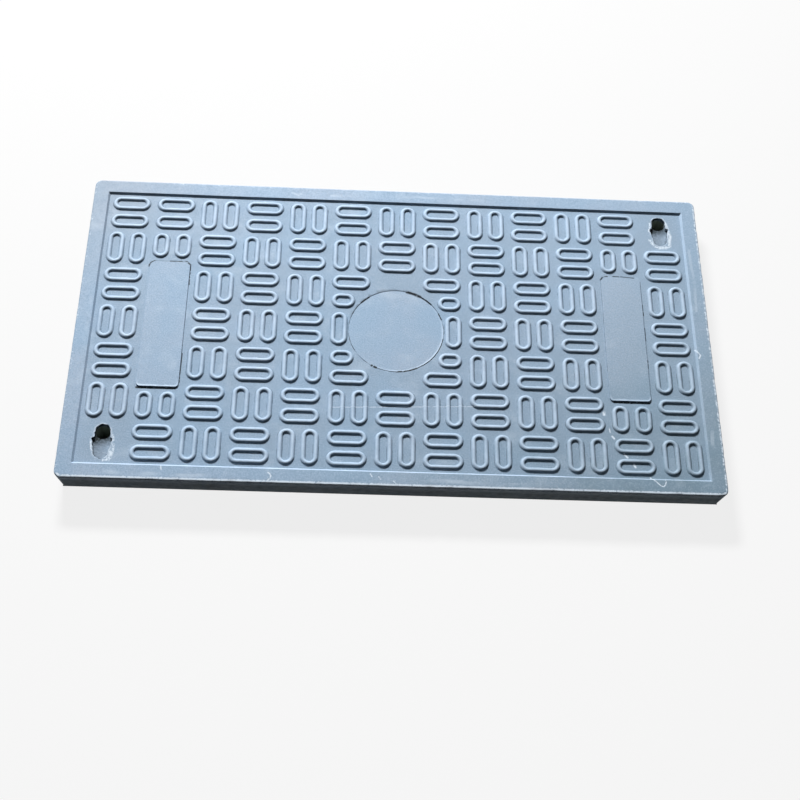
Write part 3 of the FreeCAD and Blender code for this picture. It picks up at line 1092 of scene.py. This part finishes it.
# Dark residue round the pads, and painted shadow along their front and right edges.
RESIDUE_AND_SHADOW = [
    ([(-437, 117), (-434, 124), (-428, 128)], 2.6),
    ([(-428, 128), (-400, 128)], 1.4),
    ([(-400, 128), (-371, 128), (-365, 122)], 2.8),
    ([(-364, 122), (-363.5, 80)], 1.2),
    ([(-363.5, -60), (-364, -118)], 1.2),
    ([(-434, -128.5), (-370, -128.5)], 3.0),
    ([(365, 121), (369, 127), (377, 128.5)], 2.4),
    ([(388, 128.5), (398, 128.5)], 2.4),
    ([(402, 128.5), (424, 126.5)], 2.4),
    ([(436, 70), (436.5, 48)], 1.2),
    ([(436.5, 22), (436.5, -4)], 0.9),
    ([(436.5, -44), (436, -60)], 1.1),
    ([(372, -128.5), (432, -128.5)], 3.0),
]

# The longest straight run of residue along the seam, in degrees.
SEAM_RUN = 9


def patches(nodes, name):
    """A share that varies as one of the patterns."""
    size, detail, roughness, found, shares = PATTERNS[name]
    return nodes.ramp(nodes.noise(size, detail, roughness), *found, *shares)


def along_seam(first, last):
    """Points along the disc's seam from one angle to another, in degrees, with millimetres as unit."""
    radius = (DISC_RADIUS + SEAM_WIDTH / 2) / MM
    steps = math.ceil(abs(last - first) / SEAM_RUN)
    angles = [math.radians(first + (last - first) * step / steps) for step in range(steps + 1)]
    return [(radius * math.cos(a), radius * math.sin(a)) for a in angles]


def strokes(nodes, runs, size, fade, shake):
    """How much each point of the top belongs to one of the strokes, shaken and broken up by noise."""
    colours = nodes.add("ShaderNodeTexNoise", Vector=nodes.here, Scale=1 / size).outputs["Color"]
    shift = nodes.scaled(nodes.vector("SUBTRACT", colours, NOISE_MEAN), shake)
    flat = nodes.vector("MULTIPLY", nodes.vector("ADD", nodes.here, shift), (1, 1, 0))
    touches = []
    for corners, width in runs:
        for start, end in zip(corners, corners[1:]):
            a = Vector((*start, 0)) * MM
            run = Vector((*end, 0)) * MM - a
            offset = nodes.vector("SUBTRACT", flat, a)
            along = nodes.math("DIVIDE", nodes.vector("DOT_PRODUCT", offset, run), run.length_squared)
            held = nodes.add("ShaderNodeClamp", Value=along).outputs[0]
            away = nodes.vector("LENGTH", nodes.vector("SUBTRACT", offset, nodes.scaled(run, held)))
            touches.append(nodes.ramp(away, width * MM, width * MM * STROKE_CORE))
    kept = nodes.ramp(nodes.noise(size, BREAK_DETAIL), *fade)
    height = nodes.add("ShaderNodeSeparateXYZ", Vector=nodes.here).outputs["Z"]
    on_top = nodes.math("GREATER_THAN", height, FIELD - TREAD_DEPTH)
    return nodes.product(nodes.highest(*touches), kept, on_top)


def ground_colour(nodes, front_right_shade):
    """The mottled resin, darkened by painted shade towards the front right, and greyed by dust in the field
    and by grit.
    """
    colour = nodes.mix(patches(nodes, "cloud"), RESIN_COOL, RESIN_WARM)
    colour = nodes.mix(patches(nodes, "mottle"), colour, RESIN)
    colour = nodes.mix(front_right_shade, colour, FRONT_RIGHT_SHADE_TINT)
    colour = nodes.mix(nodes.product(nodes.mark("field"), patches(nodes, "dust")), colour, DUST)
    colour = nodes.mix(patches(nodes, "dark_grit"), colour, GRIT)
    return nodes.mix(patches(nodes, "pale_grit"), colour, CHALK)


def with_rub_and_highlight(nodes, front_right_shade, colour):
    """Adds the dull corner, haze and faint marks, and the pale crests: partly rubbed by feet, partly
    painted highlight.
    """
    colour = nodes.mix(nodes.gradient(*DULL_GRADIENT), colour, STAIN)
    pale = nodes.gradient(*PALE_GRADIENT)
    faint = nodes.product(strokes(nodes, FAINT_MARKS, **FAINT_BREAKS), FAINT_STRENGTH)
    colour = nodes.mix(nodes.highest(patches(nodes, "haze"), pale, faint), colour, CHALK)
    clear = nodes.ramp(front_right_shade, 0.0, 1.0, 1.0, CREST_IN_FRONT_RIGHT_SHADE)
    # Crests painted pale: partly rubbed wear, partly painted highlight, weaker in the painted shade to the
    # front right.
    crest = nodes.product(nodes.mark("crest"), patches(nodes, "rubbed_and_highlight"), clear)
    return nodes.mix(crest, colour, RUBBED_AND_HIGHLIGHT)


def with_dirt_and_shade(nodes, colour):
    """Adds dirt in the crevices and seams, painted shade on the lee sides, and the darkening towards the
    foot of the plate's sides.
    """
    dirt_and_shade = nodes.product(nodes.mark("crevice"), patches(nodes, "dirt_and_shade"))
    residue = RESIDUE_AND_SHADOW + [(along_seam(first, last), width) for first, last, width in SEAM_RESIDUE]
    # Painted shade on the lee sides, in the colour of the grime.
    painted_lee_shade = nodes.ramp(nodes.mark("painted_lee_shade"), *LEE_SHADE_RANGE, 0.0, LEE_PAINTED_SHADE)
    dirt_and_shade = nodes.highest(dirt_and_shade, strokes(nodes, residue, **RESIDUE_BREAKS), painted_lee_shade)
    colour = nodes.mix(dirt_and_shade, colour, GRIME_AND_SHADE)
    # Darker towards the foot of the plate's sides.
    side_darkening = nodes.ramp(nodes.mark("side"), 0.0, SIDE_DARKENING_REACH, 0.0, SIDE_DARKENING_SHARE)
    return nodes.mix(nodes.product(side_darkening, patches(nodes, "side_darkening")), colour, SIDE_DARK_TINT)


def worn_edge(nodes):
    """Where the top edge is worn to chalky resin."""
    edge = nodes.mark("edge")
    wear = nodes.math("ADD", nodes.noise(*WEAR_GRAIN), nodes.product(edge, WEAR_AT_EDGE))
    return nodes.product(nodes.ramp(wear, *WEAR_RANGE), nodes.ramp(edge, 0.0, WEAR_FADE))


def relief(nodes, scratch):
    """The fine relief of the moulded skin, cut by the scratches."""
    peel = nodes.product(nodes.noise(*PEEL_GRAIN), PEEL_DEPTH)
    swell = nodes.product(nodes.noise(*SWELL_GRAIN), SWELL_DEPTH)
    height = nodes.math("SUBTRACT", nodes.math("ADD", peel, swell), nodes.product(scratch, SCRATCH_DEPTH))
    bump = nodes.add("ShaderNodeBump", Height=height, Distance=MM, Strength=RELIEF_STRENGTH)
    return bump.outputs[0]


def resin():
    """Moulded grey resin: mottled, chalky on its worn edges, dark in its seams, with painted shade and
    painted highlights.
    """
    material = bpy.data.materials.new("moulded_resin")
    nodes = Nodes(material)
    # Painted shade that deepens to the front right.
    front_right_shade = nodes.product(nodes.gradient(*FRONT_RIGHT_SHADE_GRADIENT), patches(nodes, "front_right_shade"))
    colour = ground_colour(nodes, front_right_shade)
    colour = with_rub_and_highlight(nodes, front_right_shade, colour)
    colour = with_dirt_and_shade(nodes, colour)
    # Painted shade in the lifting holes' recesses, mottled.
    hollow = nodes.product(nodes.mark("hollow"), patches(nodes, "hollow"))
    colour = nodes.mix(hollow, colour, HOLLOW_SHADE_COLOUR)
    colour = nodes.mix(nodes.mark("silt"), colour, SILT)

    torn = nodes.product(nodes.mark("flash"), patches(nodes, "flash"))
    smear = strokes(nodes, SMEARS, **SMEAR_BREAKS)
    scratch = strokes(nodes, SCRATCHES, **SCRATCH_BREAKS)
    bare = nodes.highest(worn_edge(nodes), torn, smear, scratch)
    colour = nodes.mix(bare, colour, CHALK)

    extra = nodes.product(nodes.highest(bare, hollow), EXTRA_ROUGHNESS)
    shader = nodes.add(
        "ShaderNodeBsdfPrincipled",
        Base_Color=colour,
        Roughness=nodes.math("ADD", patches(nodes, "roughness"), extra),
        Specular_IOR_Level=nodes.ramp(nodes.mark("side"), 0.0, SHEEN_REACH, SHEEN_LEVEL, SIDE_SHEEN_LEVEL),
        Normal=relief(nodes, scratch),
    )
    nodes.finish(shader)
    return material


# Edges that turn by more than this stay sharp.
SHARP_ANGLE = math.radians(48)


def cover_plate():
    """The cover in one piece, in place of the plain solid."""
    piece = bpy.data.objects.new("moulded_cover_plate", cover_mesh())
    bpy.context.scene.collection.objects.link(piece)
    piece.data.materials.append(resin())
    piece.data.shade_smooth()
    piece.data.set_sharp_from_angle(angle=SHARP_ANGLE)
    weighting = piece.modifiers.new("even_shading", "WEIGHTED_NORMAL")
    weighting.keep_sharp = True
    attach(piece, "root")
    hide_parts("cover_plate")


# The floor, in metres: how it shows to the camera, and how little it lights the object from below.
FLOOR_SIZE = 30
FLOOR_SEEN = (0.11, 0.11, 0.11, 1)
FLOOR_UNSEEN = (0.08, 0.08, 0.08, 1)
FLOOR_GLOW = 0.835

# How white the backdrop shows, and how faintly it lights the object.
BACKDROP = 0.91
AMBIENT = 0.04


def shown(nodes):
    """1 where the camera or a reflection sees the surface, and 0 where only its light arrives."""
    rays = nodes.add("ShaderNodeLightPath").outputs
    return nodes.highest(rays["Is Camera Ray"], rays["Is Glossy Ray"], rays["Is Transmission Ray"])


def open_floor(nodes):
    """How pale the floor shows: not at all under the plate, where no light comes."""
    aside = nodes.vector("ABSOLUTE", nodes.here)
    place = nodes.add("ShaderNodeSeparateXYZ", Vector=aside)
    beyond_end = nodes.math("GREATER_THAN", place.outputs["X"], HALF_LENGTH - SIDE_INSET)
    beyond_side = nodes.math("GREATER_THAN", place.outputs["Y"], HALF_WIDTH - SIDE_INSET)
    return nodes.product(nodes.highest(beyond_end, beyond_side), FLOOR_GLOW)


def floor():
    """The pale floor that takes the object's shadow."""
    half = FLOOR_SIZE / 2
    corners = [(-half, -half, 0), (half, -half, 0), (half, half, 0), (-half, half, 0)]
    mesh = bpy.data.meshes.new("floor")
    mesh.from_pydata(corners, [], [(0, 1, 2, 3)])
    material = bpy.data.materials.new("pale_floor")
    nodes = Nodes(material)
    seen = shown(nodes)
    diffuse = nodes.add("ShaderNodeBsdfDiffuse", Color=nodes.mix(seen, FLOOR_UNSEEN, FLOOR_SEEN))
    glow = nodes.add("ShaderNodeEmission", Strength=nodes.product(seen, open_floor(nodes)))
    both = nodes.add("ShaderNodeAddShader")
    nodes.give(both.inputs[0], diffuse.outputs[0])
    nodes.give(both.inputs[1], glow.outputs[0])
    nodes.finish(both)
    mesh.materials.append(material)
    piece = bpy.data.objects.new("floor", mesh)
    bpy.context.scene.collection.objects.link(piece)


def world():
    """The backdrop, white to the camera and faint as a light."""
    studio = bpy.data.worlds.new("studio")
    bpy.context.scene.world = studio
    nodes = Nodes(studio)
    strength = nodes.ramp(shown(nodes), 0.0, 1.0, AMBIENT, BACKDROP)
    background = nodes.add("ShaderNodeBackground", Color=WHITE, Strength=strength)
    nodes.finish(background, "ShaderNodeOutputWorld")


# The soft lamp behind the plate and a little to its left.
LAMP_PLACE = Vector((-0.92, 3.2, 2.51))
LAMP_AIM = Vector((0, -0.45, 0))
LAMP_SPREAD = math.radians(135)
LAMP_SIZE = 1.0
LAMP_WATTS = 162


def lamp():
    light = bpy.data.lights.new("soft_lamp", "AREA")
    light.shape = "RECTANGLE"
    light.size = LAMP_SIZE
    light.size_y = LAMP_SIZE / 2
    light.spread = LAMP_SPREAD
    light.energy = LAMP_WATTS
    piece = bpy.data.objects.new("soft_lamp", light)
    piece.location = LAMP_PLACE
    piece.rotation_euler = (LAMP_AIM - LAMP_PLACE).to_track_quat("-Z", "Y").to_euler()
    bpy.context.scene.collection.objects.link(piece)


# The camera: where it stands in metres, its turn in degrees from a look straight down, its lens and
# sensor in millimetres, and the nearest and the farthest that it sees.
CAMERA_PLACE = Vector((-0.0862, -1.2277, 2.0138))
CAMERA_TURN = (28.95, -2.963, 0.418)
CAMERA_LENS = 60.18
CAMERA_SENSOR = 36
CAMERA_NEAR = 0.05
CAMERA_FAR = 100


def camera():
    data = bpy.data.cameras.new("camera")
    data.lens = CAMERA_LENS
    data.sensor_width = CAMERA_SENSOR
    data.clip_start = CAMERA_NEAR
    data.clip_end = CAMERA_FAR
    piece = bpy.data.objects.new("camera", data)
    piece.location = CAMERA_PLACE
    piece.rotation_euler = [math.radians(angle) for angle in CAMERA_TURN]
    bpy.context.scene.collection.objects.link(piece)
    bpy.context.scene.camera = piece


cover_plate()
floor()
world()
lamp()
camera()
bpy.context.scene.view_settings.view_transform = "Standard"
